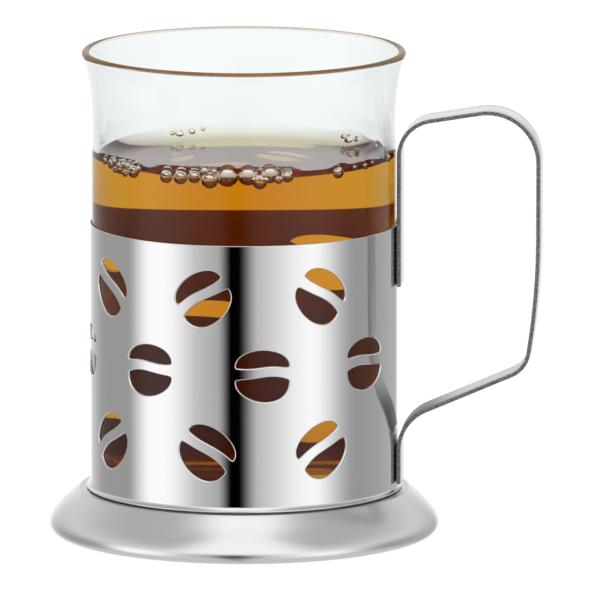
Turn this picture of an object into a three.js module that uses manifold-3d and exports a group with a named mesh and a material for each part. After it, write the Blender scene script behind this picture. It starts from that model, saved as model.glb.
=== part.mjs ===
// Glass tea cup: a loose glass beaker that stands in a pierced steel holder with a strap handle.
// Millimetres, +Z up. The origin is on the cup's axis, on the table that the foot stands on.
// The handle points along +X.

import * as THREE from 'three';
import { mergeVertices } from 'three/addons/utils/BufferGeometryUtils.js';
import Module from 'manifold-3d';

const wasm = await Module();
wasm.setup();

// Glass beaker
const GLASS_OD = 75;
const GLASS_WALL = 1.8;
const GLASS_FLOOR = 3;
const GLASS_CORNER = 6;
const GLASS_INNER_CORNER = 4;
const GLASS_PROUD = 42.8;       // how far the lip stands above the sleeve
const FLARE_RISE = 16.2;        // height over which the wall opens towards the lip
const FLARE_OUT = 2.3;          // how far it opens

// Pierced sleeve with its out-turned foot
const SLEEVE_CLEARANCE = 0.15;  // between the glass and the sleeve
const SLEEVE_WALL = 0.4;
const SLEEVE_HEIGHT = 65.9;     // from the underside of the foot to the top edge
const SLEEVE_FILLET = 0.9;
const FLANGE_WIDTH = 0.9;       // how far the foot stands out from the sleeve

// Bean cut-outs in the sleeve
const BEAN_LENGTH = 13.2;
const BEAN_HEIGHT = 12.7;
const BEAN_STRIP = 2.6;         // steel left between the two halves of a bean
const BEAN_RISE = 0.5;          // the strip's ends lie this far above the bean's middle
const BEAN_ARCH = 0.48;         // how far the strip arches up between its ends
const BEAN_SWING = 0.25;        // how far it swings up and down in its S
const BEAN_ROUND = 0.65;        // rounding of a half's ends
const BEAN_LEAN_UPPER = -0.2;   // sideways lean of the halves' bellies
const BEAN_LEAN_LOWER = 0.85;
const BEAN_TILT = 32.8;         // degrees, in the outer rows
const BEAN_EDGE = 13.25;        // from the outer rows' middle to the end of the straight wall
const BEAN_COLUMNS = 8;
const BEAN_FIRST_LOW = -99.6;   // degrees, the first bean of each row
const BEAN_FIRST_MIDDLE = -78.3;
const BEAN_FIRST_TOP = -100.5;
const BEAN_ASKEW = 1.7;         // the middle row runs askew, up by twice this towards +Y
const BEAN_STEPS = 18;          // points round a half

// Base
const SKIRT_OD = 96;
const SKIRT_HEIGHT = 11;
const SKIRT_SHEET = 0.8;
const SKIRT_SLOPE = 39;         // degrees, where the skirt leaves the land
const FOOT_ROUND = 2.1;
const FOOT_WIDTH = 3;           // flat ring that stands on the table
const LAND_LEDGE = 1.6;         // the land shows this far past the sleeve's foot
const LAND_WIDTH = 10.5;
const PLATE_SHEET = 0.8;
const PLATE_CLEARANCE = 0.3;    // between the floor plate's edge and the sleeve
const SEAT_GAP = 0.3;           // between faces that rest on each other

// Strap handle
const STRAP_WIDTH = 11;
const STRAP_SHEET = 1;
const WELD_GAP = 0.05;
const HANDLE_REACH = 34.3;      // from the legs to the grip, middle of the sheet
const HANDLE_RISE = 25;         // from the sleeve's top edge to the upper bend
const UPPER_FOOT = 15;          // length of the upper leg that lies on the sleeve
const LOWER_BEND = 15.6;        // from the lower leg's end to the lower bend
const ARM_CLIMB = 9.4;          // degrees, upper arm
const ARM_DROP = 23.3;          // degrees, lower arm
const GRIP_LEAN = 8.6;          // degrees, lower part of the grip
const GRIP_LOWER = 19.3;        // height of the part that leans
const GRIP_EASE = 0.7;          // share of it over which the grip bends into the lean
const BEND_UPPER_LEG = 9;
const BEND_GRIP_TOP = 12.5;
const BEND_GRIP_FOOT = 7;
const BEND_LOWER_LEG = 11;

// Facets
const ROUND_STEPS = 48;
const CURVE_STEPS = 3;
const CUT_REACH = 3;            // how far a cutter stands past the sleeve's wall

const radians = THREE.MathUtils.degToRad;

// Radii and levels that follow from the sizes above
const glassR = GLASS_OD / 2;
const sleeveInnerR = glassR + SLEEVE_CLEARANCE;
const sleeveR = sleeveInnerR + SLEEVE_WALL;
const flangeR = sleeveR + FLANGE_WIDTH;
const landR = flangeR + LAND_LEDGE;
const skirtR = SKIRT_OD / 2;
const sleeveFootZ = SKIRT_HEIGHT + SEAT_GAP;
const sleeveTopZ = sleeveFootZ + SLEEVE_HEIGHT;
const wallFootZ = sleeveFootZ + SLEEVE_WALL + SLEEVE_FILLET;
const plateZ = SKIRT_HEIGHT + SEAT_GAP;
const glassFootZ = plateZ + PLATE_SHEET + SEAT_GAP;
const glassTopZ = sleeveTopZ + GLASS_PROUD;

const polishedSteel = { color: 0xd6d8da, roughness: 0.08, metalness: 1 };
const satinSteel = { color: 0xc4c6c8, roughness: 0.35, metalness: 1 };
const clearGlass = { color: 0xf2f6f5, roughness: 0.02, metalness: 0, transparent: true, opacity: 0.35 };

function named(name, geometry, look) {
  const mesh = new THREE.Mesh(geometry, new THREE.MeshStandardMaterial(look));
  mesh.name = name;
  return mesh;
}

// Turns an outline of radius and height round the Z axis.
function turned(outline) {
  const points = outline.getPoints(CURVE_STEPS);
  return new THREE.LatheGeometry(points, ROUND_STEPS).rotateX(Math.PI / 2);
}

function toSolid(geometry) {
  const bare = geometry.clone();
  bare.deleteAttribute('normal');
  bare.deleteAttribute('uv');
  const merged = mergeVertices(bare, 1e-4);
  return new wasm.Manifold(new wasm.Mesh({
    numProp: 3,
    vertProperties: new Float32Array(merged.attributes.position.array),
    triVerts: new Uint32Array(merged.index.array),
  }));
}

function toGeometry(solid) {
  const mesh = solid.getMesh();
  const geometry = new THREE.BufferGeometry();
  geometry.setAttribute('position', new THREE.BufferAttribute(mesh.vertProperties, 3));
  geometry.setIndex(new THREE.BufferAttribute(mesh.triVerts, 1));
  geometry.computeVertexNormals();
  return geometry;
}

// The wall is one thickness up to the lip, which is a half round across it.
function glassBeaker() {
  const innerR = glassR - GLASS_WALL;
  const floorZ = glassFootZ + GLASS_FLOOR;
  const flareR = (FLARE_RISE ** 2 + FLARE_OUT ** 2) / (2 * FLARE_OUT);
  const flareEnd = Math.PI - Math.asin(FLARE_RISE / flareR);
  const lipR = GLASS_WALL / 2;
  const lipArm = flareR + lipR;
  const flareZ = glassTopZ - lipR - lipArm * Math.sin(flareEnd);
  const flareX = glassR + flareR;
  const outline = new THREE.Path();
  outline.moveTo(0, glassFootZ);
  outline.lineTo(glassR - GLASS_CORNER, glassFootZ);
  outline.absarc(glassR - GLASS_CORNER, glassFootZ + GLASS_CORNER, GLASS_CORNER, -Math.PI / 2, 0, false);
  outline.lineTo(glassR, flareZ);
  outline.absarc(flareX, flareZ, flareR, Math.PI, flareEnd, true);
  const lipX = flareX + lipArm * Math.cos(flareEnd);
  const lipZ = flareZ + lipArm * Math.sin(flareEnd);
  outline.absarc(lipX, lipZ, lipR, flareEnd - Math.PI, flareEnd, false);
  outline.absarc(flareX, flareZ, flareR + GLASS_WALL, flareEnd, Math.PI, false);
  outline.lineTo(innerR, floorZ + GLASS_INNER_CORNER);
  outline.absarc(
    innerR - GLASS_INNER_CORNER, floorZ + GLASS_INNER_CORNER, GLASS_INNER_CORNER, 0, -Math.PI / 2, true);
  outline.lineTo(0, floorZ);
  return turned(outline);
}

// One half of a bean, above (side 1) or below (side -1) the strip: a round belly and, along the
// strip, an edge that follows its arch and its S.
function beanHalf(side, mirrored) {
  const half = BEAN_LENGTH / 2;
  const end = BEAN_STRIP / 2 + BEAN_ROUND;
  const belly = BEAN_HEIGHT / 2 - side * BEAN_RISE - end;
  const lean = side > 0 ? BEAN_LEAN_UPPER : BEAN_LEAN_LOWER;
  const endTaper = 0.5;
  const points = [];
  for (let i = 0; i < BEAN_STEPS; i += 1) {
    const turn = (2 * Math.PI * i) / BEAN_STEPS;
    const along = Math.cos(turn);
    const lift = Math.sin(turn);
    const point = new THREE.Vector2(half * along, BEAN_RISE + side * end);
    if (lift >= 0) {
      point.x += lean * lift * lift;
      point.y += side * belly * lift;
    } else {
      const bow = BEAN_ARCH * (1 - along * along) + BEAN_SWING * Math.sin(Math.PI * along);
      point.y += bow - side * BEAN_ROUND * (-lift) ** endTaper;
    }
    point.x *= mirrored ? -1 : 1;
    points.push(point);
  }
  return new THREE.Shape(points);
}

// A cutter through the wall, square to it, at an angle round the sleeve and a height.
function beanCutter(shape, angle, z, tilt) {
  const depth = SLEEVE_WALL + 2 * CUT_REACH;
  const cutter = new THREE.ExtrudeGeometry(shape, { depth, bevelEnabled: false, steps: 1 });
  const outward = new THREE.Vector3(Math.cos(angle), Math.sin(angle), 0);
  const right = new THREE.Vector3(-Math.sin(angle), Math.cos(angle), 0);
  const place = new THREE.Matrix4().makeBasis(right, new THREE.Vector3(0, 0, 1), outward);
  place.setPosition(outward.clone().multiplyScalar(sleeveInnerR - CUT_REACH).setZ(z));
  return cutter.rotateZ(tilt).applyMatrix4(place);
}

// The outer rows stand about half a step off the middle one, and lean by turns to the left and right.
// They leave out the beans that would lie under the welded legs of the handle.
function beanCutters() {
  const step = (2 * Math.PI) / BEAN_COLUMNS;
  const beanAngle = (BEAN_LENGTH / 2) / sleeveR;
  const legAngle = Math.asin((STRAP_WIDTH / 2) / sleeveR);
  const rows = [
    { z: wallFootZ + BEAN_EDGE, first: BEAN_FIRST_LOW, tilt: radians(BEAN_TILT), flip: 0, askew: 0 },
    { z: (wallFootZ + sleeveTopZ) / 2, first: BEAN_FIRST_MIDDLE, tilt: 0, flip: 0, askew: BEAN_ASKEW },
    { z: sleeveTopZ - BEAN_EDGE, first: BEAN_FIRST_TOP, tilt: radians(BEAN_TILT), flip: 1, askew: 0 },
  ];
  const cutters = [];
  for (const row of rows) {
    for (let column = 0; column < BEAN_COLUMNS; column += 1) {
      const angle = radians(row.first) + column * step;
      const fromHandle = Math.abs(Math.atan2(Math.sin(angle), Math.cos(angle)));
      const underLeg = row.tilt !== 0 && fromHandle < beanAngle + legAngle;
      if (underLeg) continue;
      const mirrored = (column + row.flip) % 2 === 1;
      const tilt = mirrored ? row.tilt : -row.tilt;
      const z = row.z + row.askew * (1 + Math.sin(angle));
      for (const side of [1, -1]) {
        cutters.push(beanCutter(beanHalf(side, mirrored), angle, z, tilt));
      }
    }
  }
  return cutters;
}

// A rolled sheet whose foot turns out into a narrow flange.
function sleeve() {
  const bendX = sleeveR + SLEEVE_FILLET;
  const outline = new THREE.Path();
  outline.moveTo(bendX, sleeveFootZ);
  outline.lineTo(flangeR, sleeveFootZ);
  outline.lineTo(flangeR, sleeveFootZ + SLEEVE_WALL);
  outline.lineTo(bendX, sleeveFootZ + SLEEVE_WALL);
  outline.absarc(bendX, wallFootZ, SLEEVE_FILLET, -Math.PI / 2, -Math.PI, true);
  outline.lineTo(sleeveR, sleeveTopZ);
  outline.lineTo(sleeveInnerR, sleeveTopZ);
  outline.lineTo(sleeveInnerR, wallFootZ);
  outline.absarc(bendX, wallFootZ, SLEEVE_FILLET + SLEEVE_WALL, -Math.PI, -Math.PI / 2, false);
  let solid = toSolid(turned(outline));
  for (const cutter of beanCutters()) {
    solid = solid.subtract(toSolid(cutter));
  }
  return toGeometry(solid);
}

// A pressed ring: the land that carries the sleeve, the flared skirt and the turned-in foot.
function baseSkirt() {
  const slope = radians(SKIRT_SLOPE);
  const innerLandR = landR - SKIRT_SHEET * Math.tan(slope / 2);
  const innerTopZ = SKIRT_HEIGHT - SKIRT_SHEET;
  const innerSkirtR = skirtR - SKIRT_SHEET;
  const footR = skirtR - FOOT_ROUND;
  const boreR = landR - LAND_WIDTH;
  const outline = new THREE.Path();
  outline.moveTo(boreR, innerTopZ);
  outline.lineTo(innerLandR, innerTopZ);
  outline.quadraticCurveTo(
    innerSkirtR, innerTopZ - (innerSkirtR - innerLandR) * Math.tan(slope), innerSkirtR, FOOT_ROUND);
  outline.absarc(footR, FOOT_ROUND, FOOT_ROUND - SKIRT_SHEET, 0, -Math.PI / 2, true);
  outline.lineTo(footR - FOOT_WIDTH, SKIRT_SHEET);
  outline.lineTo(footR - FOOT_WIDTH, 0);
  outline.lineTo(footR, 0);
  outline.absarc(footR, FOOT_ROUND, FOOT_ROUND, -Math.PI / 2, 0, false);
  outline.quadraticCurveTo(
    skirtR, SKIRT_HEIGHT - (skirtR - landR) * Math.tan(slope), landR, SKIRT_HEIGHT);
  outline.lineTo(boreR, SKIRT_HEIGHT);
  outline.lineTo(boreR, innerTopZ);
  return turned(outline);
}

// A plain disc that closes the land's bore, and that the glass stands on.
function floorPlate() {
  const plateR = sleeveInnerR - PLATE_CLEARANCE;
  const outline = new THREE.Path();
  outline.moveTo(0, plateZ);
  outline.lineTo(plateR, plateZ);
  outline.lineTo(plateR, plateZ + PLATE_SHEET);
  outline.lineTo(0, plateZ + PLATE_SHEET);
  return turned(outline);
}

// The corners of the strap's middle line, seen from the side, with the bend at each.
function strapCorners() {
  const legX = sleeveR + WELD_GAP + STRAP_SHEET / 2;
  const gripX = legX + HANDLE_REACH;
  const lowerEndZ = wallFootZ + SEAT_GAP;
  const upperBendZ = sleeveTopZ + HANDLE_RISE;
  const gripTopZ = upperBendZ + HANDLE_REACH * Math.tan(radians(ARM_CLIMB));
  const lowerBendZ = lowerEndZ + LOWER_BEND;
  const gripFootX = gripX - GRIP_LOWER * Math.tan(radians(GRIP_LEAN));
  const gripFootZ = lowerBendZ + (gripFootX - legX) * Math.tan(radians(ARM_DROP));
  const gripBendZ = gripFootZ + GRIP_LOWER;
  const gripBend = GRIP_EASE * GRIP_LOWER / Math.tan(radians(GRIP_LEAN) / 2);
  return [
    { x: legX, z: sleeveTopZ - UPPER_FOOT, bend: 0 },
    { x: legX, z: upperBendZ, bend: BEND_UPPER_LEG },
    { x: gripX, z: gripTopZ, bend: BEND_GRIP_TOP },
    { x: gripX, z: gripBendZ, bend: gripBend },
    { x: gripFootX, z: gripFootZ, bend: BEND_GRIP_FOOT },
    { x: legX, z: lowerBendZ, bend: BEND_LOWER_LEG },
    { x: legX, z: lowerEndZ, bend: 0 },
  ];
}

// Follows the corners, rounds each bend, and stands off the middle line by an offset to its left.
function strapSide(corners, offset) {
  const points = [];
  const stepAngle = radians(12);
  corners.forEach((corner, i) => {
    const here = new THREE.Vector2(corner.x, corner.z);
    const before = corners[Math.max(i - 1, 0)];
    const after = corners[Math.min(i + 1, corners.length - 1)];
    const into = new THREE.Vector2(corner.x - before.x, corner.z - before.z).normalize();
    const out = new THREE.Vector2(after.x - corner.x, after.z - corner.z).normalize();
    if (corner.bend === 0) {
      const way = i === 0 ? out : into;
      points.push(new THREE.Vector2(-way.y, way.x).multiplyScalar(offset).add(here));
      return;
    }
    const turn = Math.atan2(into.cross(out), into.dot(out));
    const hand = Math.sign(turn);
    const back = corner.bend * Math.tan(Math.abs(turn) / 2);
    const left = new THREE.Vector2(-into.y, into.x).multiplyScalar(hand);
    const centre = here.clone().addScaledVector(into, -back).addScaledVector(left, corner.bend);
    const start = Math.atan2(-left.y, -left.x);
    const radius = corner.bend - hand * offset;
    const steps = Math.max(2, Math.ceil(Math.abs(turn) / stepAngle));
    for (let k = 0; k <= steps; k += 1) {
      const angle = start + turn * k / steps;
      points.push(new THREE.Vector2(Math.cos(angle), Math.sin(angle)).multiplyScalar(radius).add(centre));
    }
  });
  return points;
}

// Bent flat strip, drawn from the side and as wide as the strip.
function handleStrap() {
  const corners = strapCorners();
  const outside = strapSide(corners, STRAP_SHEET / 2);
  const inside = strapSide(corners, -STRAP_SHEET / 2).reverse();
  const shape = new THREE.Shape([...outside, ...inside]);
  const strap = new THREE.ExtrudeGeometry(shape, { depth: STRAP_WIDTH, bevelEnabled: false, steps: 1 });
  return strap.translate(0, 0, -STRAP_WIDTH / 2).rotateX(Math.PI / 2);
}

const cup = new THREE.Group();
cup.add(named('glass_beaker', glassBeaker(), clearGlass));
cup.add(named('sleeve', sleeve(), polishedSteel));
cup.add(named('base_skirt', baseSkirt(), satinSteel));
cup.add(named('floor_plate', floorPlate(), satinSteel));
cup.add(named('handle_strap', handleStrap(), satinSteel));

export default cup;
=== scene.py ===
"""Dresses a packed glass tea cup: the glass, its steel holder, and the tea in it.

Metres, +Z up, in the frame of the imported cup: the origin is on the cup's axis, on the table,
and the handle points along +X.
"""

import math

import bpy
from bpy.props import FloatProperty, FloatVectorProperty, IntProperty, PointerProperty
from bpy.types import Operator, Panel, PropertyGroup
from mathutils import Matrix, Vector


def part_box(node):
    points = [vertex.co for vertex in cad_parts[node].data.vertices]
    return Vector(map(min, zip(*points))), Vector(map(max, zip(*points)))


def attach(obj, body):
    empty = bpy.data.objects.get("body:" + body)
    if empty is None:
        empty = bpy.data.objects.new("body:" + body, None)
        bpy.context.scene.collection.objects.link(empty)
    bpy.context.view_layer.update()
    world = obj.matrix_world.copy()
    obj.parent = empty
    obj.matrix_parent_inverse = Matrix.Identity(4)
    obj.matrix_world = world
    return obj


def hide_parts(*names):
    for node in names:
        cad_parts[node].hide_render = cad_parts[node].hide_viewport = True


bl_info = {
    "name": "Glass tea cup",
    "version": (1, 0, 0),
    "blender": (4, 5, 0),
    "location": "View3D > Sidebar > Tea cup",
    "description": "Makes a glass tea cup in a pierced steel holder, with tea and bubbles",
    "category": "Add Mesh",
}

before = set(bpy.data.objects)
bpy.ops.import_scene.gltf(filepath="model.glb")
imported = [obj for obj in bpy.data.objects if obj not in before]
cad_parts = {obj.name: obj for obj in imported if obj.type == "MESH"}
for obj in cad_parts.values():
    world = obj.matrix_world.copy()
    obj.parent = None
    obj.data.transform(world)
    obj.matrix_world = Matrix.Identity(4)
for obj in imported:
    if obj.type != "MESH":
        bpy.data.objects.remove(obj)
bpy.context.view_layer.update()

MM = 0.001

# What the frame gives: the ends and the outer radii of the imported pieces
GLASS_LOW, GLASS_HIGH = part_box("glass_beaker")
SLEEVE_LOW, SLEEVE_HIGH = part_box("sleeve")
_, SKIRT_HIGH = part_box("base_skirt")
PLATE_LOW, PLATE_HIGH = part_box("floor_plate")
STRAP_LOW, STRAP_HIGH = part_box("handle_strap")

# Mesh fineness
ROUND_STEPS = 192     # of a full turn
BEAN_STEPS = 72       # of the outline of a half bean
ARC_STEPS = 12        # of an arc
FILLET_STEPS = 8      # of the bend at the sleeve's foot
EDGE_STEPS = 4        # of the rounded edge of a sheet
STRIP_STEPS = 3       # of the rounded edge of the strap
BEND_STEPS = 14       # of a bend of the strap
BUBBLE_STEPS = 40     # of a turn of a bubble
SURFACE_STEPS = 60    # of the tea's surface, from its edge to its middle

# Metres within which two points count as one, in an outline and where sheet is welded
SAME = 1e-7
WELD = 2e-6


# Settings


def length(name, description, millimetres):
    """A size that the sidebar shows as a length."""
    return FloatProperty(
        name=name, description=description, default=millimetres * MM, unit="LENGTH", precision=5)


def angle(name, description, degrees):
    """A size that the sidebar shows as an angle."""
    return FloatProperty(
        name=name, description=description, default=math.radians(degrees), unit="ROTATION")


def share(name, description, value):
    """A plain number."""
    return FloatProperty(name=name, description=description, default=value)


def colour(name, description, red, green, blue):
    """A colour in linear values."""
    return FloatVectorProperty(
        name=name, description=description, default=(red, green, blue), size=3,
        subtype="COLOR", min=0.0, max=1.0)


class GlassSizes(PropertyGroup):
    """Sizes of the loose glass."""

    tube: length("Tube", "Outer diameter of the straight wall", 75)
    wall: length("Wall", "Thickness of the wall", 1.8)
    floor: length("Floor", "Thickness of the floor", 3)
    corner: length("Corner", "Outer rounding of the foot", 6)
    inner_corner: length("Inner corner", "Inner rounding of the foot", 4)
    flare_rise: length("Flare rise", "Height over which the wall opens towards the lip", 16.2)
    flare_out: length("Flare out", "How far the wall opens", 2.3)


class SleeveSizes(PropertyGroup):
    """Sizes of the pierced sleeve."""

    clearance: length("Clearance", "Between the glass and the sleeve", 0.15)
    sheet: length("Sheet", "Thickness of the sheet", 0.4)
    fillet: length("Fillet", "Bend between the wall and its foot", 0.9)
    edge: length("Edge", "Rounding of the sheet's own edges", 0.14)
    rim: length("Rim", "Rounding of the outer edge of each cut-out", 0.36)


class BeanSizes(PropertyGroup):
    """Sizes of the bean cut-outs."""

    length: length("Length", "Length of a bean", 13.2)
    height: length("Height", "Height of a bean", 12.7)
    strip: length("Strip", "Steel left between the two halves", 2.6)
    rise: length("Rise", "How far the strip's ends lie above the middle", 0.5)
    arch: length("Arch", "How far the strip arches up between its ends", 0.48)
    swing: length("Swing", "How far the strip swings in its S", 0.25)
    tip: length("Tip", "Rounding of the ends of a half", 0.65)
    lean_upper: length("Upper lean", "Sideways lean of the upper half", -0.2)
    lean_lower: length("Lower lean", "Sideways lean of the lower half", 0.85)
    edge: length("Edge", "From the outer rows to the end of the straight wall", 13.25)
    tilt: angle("Tilt", "Tilt of the beans in the outer rows", 32.8)
    first_low: angle("First low", "Place of the first bean of the low row", -99.6)
    first_middle: angle("First middle", "Place of the first bean of the middle row", -78.3)
    first_top: angle("First top", "Place of the first bean of the top row", -100.5)
    askew: length("Askew", "The middle row climbs by twice this towards +Y", 1.7)
    columns: IntProperty(name="Columns", description="Beans in a row", default=8, min=3)


class BaseSizes(PropertyGroup):
    """Sizes of the flared base."""

    sheet: length("Sheet", "Thickness of the sheet", 0.8)
    slope: angle("Slope", "Slope where the skirt leaves the land", 39)
    foot_round: length("Foot round", "Rounding of the lower edge", 2.1)
    foot_width: length("Foot width", "Flat ring that stands on the table", 3)
    ledge: length("Ledge", "How far the land shows past the sleeve", 1.6)
    land: length("Land", "Width of the flat land", 10.5)
    edge: length("Edge", "Rounding of the sheet's own edges", 0.15)


class StrapSizes(PropertyGroup):
    """Sizes of the strap handle, along the middle of its sheet."""

    sheet: length("Sheet", "Thickness of the strip", 1)
    edge: length("Edge", "Rounding of the strip's edges", 0.16)
    rise: length("Rise", "From the sleeve's top edge to the upper bend", 25)
    upper_foot: length("Upper foot", "Length of the upper leg that lies on the sleeve", 15)
    lower_bend: length("Lower bend", "From the lower leg's end to the lower bend", 15.6)
    arm_climb: angle("Arm climb", "Climb of the upper arm", 9.4)
    arm_drop: angle("Arm drop", "Drop of the lower arm", 23.3)
    grip_lean: angle("Grip lean", "Lean of the lower grip", 8.6)
    grip_lower: length("Lower grip", "Height of the part that leans", 19.3)
    grip_ease: share("Grip ease", "Share of it over which the grip bends into the lean", 0.7)
    upper_leg: length("Upper leg bend", "Bend from the upper leg into the arm", 9)
    grip_top: length("Grip top bend", "Bend from the upper arm into the grip", 12.5)
    grip_foot: length("Grip foot bend", "Bend from the grip into the lower arm", 7)
    lower_leg: length("Lower leg bend", "Bend from the lower arm into the leg", 11)


class TeaSizes(PropertyGroup):
    """Sizes of the filling."""

    level: length("Level", "Height of the tea's surface above the table", 92.8)
    climb: length("Climb", "The least that the tea climbs the glass", 2.3)
    reach: length("Reach", "How far from the glass the climb starts", 8)
    lift: length("Lift", "How much higher the tea climbs where bubbles crowd", 1.5)
    back_rise: length("Back rise", "How much higher the tea climbs at the back", 1.3)
    overlap: length("Overlap", "How far the tea reaches into the glass, so that no air shows", 0.1)


class Finishes(PropertyGroup):
    """Colours and finishes."""

    polished: colour("Polished steel", "Colour of the mirror-polished sleeve", 0.80, 0.80, 0.805)
    pickled: colour("Pickled steel", "Colour of the sleeve's bare inner face", 0.95, 0.945, 0.94)
    satin: colour("Satin steel", "Colour of the satin base and handle", 0.83, 0.83, 0.835)
    cut: colour("Cut edge", "Colour of the strap's sheared edges", 0.29, 0.29, 0.295)
    glass: colour("Glass", "Tint of the glass", 0.965, 0.985, 0.985)
    # Painted light: the warm lip colour and the matt colour after it stand in for the tea's light that
    # the wall carries up to the lip
    lip: colour("Lip", "Colour of the fire-polished lip", 1.0, 0.955, 0.84)
    haze: colour("Painted tea light", "Light that the wall carries up to the lip", 0.9, 0.5, 0.1)
    tea: colour("Tea", "Light that the tea lets pass", 0.918, 0.732, 0.0)
    tea_depth: share("Tea strength", "How strongly the tea takes up light, per metre", 78)


class StageSettings(PropertyGroup):
    """The view and the studio."""

    azimuth: angle("Azimuth", "Where the camera stands round the cup", 4.5)
    elevation: angle("Elevation", "How far the camera looks down", 9.65)
    distance: FloatProperty(
        name="Distance", description="From the camera to the cup", default=3.2, unit="LENGTH")
    lens: share("Lens", "Focal length in millimetres", 778.7)
    aim: length("Aim", "Height that the camera looks at", 57.5)
    side: length("Side", "How far right of the axis the camera looks", 13.8)


class CupSettings(PropertyGroup):
    """All the settings of the cup."""

    glass: PointerProperty(type=GlassSizes)
    sleeve: PointerProperty(type=SleeveSizes)
    bean: PointerProperty(type=BeanSizes)
    base: PointerProperty(type=BaseSizes)
    strap: PointerProperty(type=StrapSizes)
    tea: PointerProperty(type=TeaSizes)
    finish: PointerProperty(type=Finishes)
    stage: PointerProperty(type=StageSettings)


# Node trees


def sign(operation, swapped=False):
    """What a sign such as plus makes of a wire and another term."""

    def apply(wire, other):
        terms = (other, wire) if swapped else (wire, other)
        return wire.math(operation, *terms)

    return apply


def function(operation):
    """What a function of one term makes of a wire."""
    return lambda wire: wire.math(operation, wire)


class Wire:
    """A node's output, which stands in sums like a number."""

    def __init__(self, board, socket):
        self.board = board
        self.socket = socket

    def out(self, name):
        """Another output of the same node."""
        return Wire(self.board, self.socket.node.outputs[name])

    def math(self, operation, *terms):
        return self.board.node("ShaderNodeMath", {"operation": operation}, dict(enumerate(terms)))

    __add__ = sign("ADD")
    __radd__ = sign("ADD", swapped=True)
    __sub__ = sign("SUBTRACT")
    __rsub__ = sign("SUBTRACT", swapped=True)
    __mul__ = sign("MULTIPLY")
    __rmul__ = sign("MULTIPLY", swapped=True)
    __truediv__ = sign("DIVIDE")
    __rtruediv__ = sign("DIVIDE", swapped=True)
    __pow__ = sign("POWER")
    __lt__ = sign("LESS_THAN")
    __gt__ = sign("GREATER_THAN")
    at_least = sign("MAXIMUM")
    at_most = sign("MINIMUM")
    __abs__ = function("ABSOLUTE")
    sin = function("SINE")
    cos = function("COSINE")
    root = function("SQRT")

    def __neg__(self):
        return self * -1.0

    def parts(self):
        """The three numbers of a vector."""
        split = self.board.node("ShaderNodeSeparateXYZ", None, {0: self})
        return split, split.out("Y"), split.out("Z")

    def fade(self, low, high):
        """A smooth step from 0 at low to 1 at high."""
        return self.board.node(
            "ShaderNodeMapRange", {"interpolation_type": "SMOOTHSTEP"},
            {"Value": self, "From Min": low, "From Max": high})


def flat_length(x, y):
    """Length of a flat vector, such as the distance from the cup's axis."""
    return (x * x + y * y).root()


class Board:
    """One node tree, with one method that adds any node to it."""

    def __init__(self, tree):
        self.tree = tree

    def node(self, kind, settings=None, inputs=None, output=0):
        made = self.tree.nodes.new(kind)
        for key, value in (settings or {}).items():
            setattr(made, key, value)
        for key, value in (inputs or {}).items():
            many = value if isinstance(value, list) else [value]
            for one in many:
                if isinstance(one, Wire):
                    self.tree.links.new(one.socket, made.inputs[key])
                else:
                    made.inputs[key].default_value = one
        return Wire(self, made.outputs[output]) if made.outputs else None

    def vector(self, x, y, z):
        return self.node("ShaderNodeCombineXYZ", None, {0: x, 1: y, 2: z})

    def noise(self, place, scale, detail=2.0):
        return self.node("ShaderNodeTexNoise", None, {
            "Vector": place, "Scale": scale, "Detail": detail})

    def bump(self, height, strength, distance):
        return self.node("ShaderNodeBump", None, {
            "Strength": strength, "Distance": distance, "Height": height})

    def blend(self, share_of_second, first, second):
        """A colour between two colours."""
        return self.node(
            "ShaderNodeMix", {"data_type": "RGBA"}, {0: share_of_second, 6: first, 7: second}, output=2)

    def mix(self, share_of_second, first, second):
        """A surface between two surfaces."""
        return self.node("ShaderNodeMixShader", None, {0: share_of_second, 1: first, 2: second})


class ShapeBoard(Board):
    """A Geometry Nodes tree with named inputs."""

    def __init__(self, name, numbers=(), takes_mesh=True):
        super().__init__(bpy.data.node_groups.new(name, "GeometryNodeTree"))
        face = self.tree.interface
        if takes_mesh:
            face.new_socket("Mesh", in_out="INPUT", socket_type="NodeSocketGeometry")
        for label in numbers:
            face.new_socket(label, in_out="INPUT", socket_type="NodeSocketFloat")
        face.new_socket("Mesh", in_out="OUTPUT", socket_type="NodeSocketGeometry")
        entry = self.tree.nodes.new("NodeGroupInput")
        self.given = {s.name: Wire(self, s) for s in entry.outputs if s.name}

    def position(self):
        return self.node("GeometryNodeInputPosition")

    def named(self, name):
        """A number that each point carries."""
        return self.node("GeometryNodeInputNamedAttribute", {"data_type": "FLOAT"}, {"Name": name})

    def without(self, mesh, room, crossing=False):
        """A mesh with the room of others cut out. Crossing tells that these cross one another."""
        return self.node("GeometryNodeMeshBoolean", {"operation": "DIFFERENCE", "solver": "EXACT"}, {
            "Mesh 1": mesh, "Mesh 2": room, "Self Intersection": crossing})

    def place(self, mesh, where):
        return self.node("GeometryNodeSetPosition", None, {"Geometry": mesh, "Position": where})

    def result(self, mesh, material=None):
        """Ends the tree, with plain geometry that carries a material if there is one."""
        mesh = self.node("GeometryNodeRealizeInstances", None, {0: mesh})
        if material is not None:
            mesh = self.node("GeometryNodeSetMaterial", None, {
                "Geometry": mesh, "Material": material})
        self.node("NodeGroupOutput", None, {0: mesh})


def labelled(group):
    """The numbers of a group of settings, under the names that the sidebar shows."""
    shown = group.bl_rna.properties
    return {shown[key].name: float(getattr(group, key)) for key in group.__annotations__}


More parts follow.
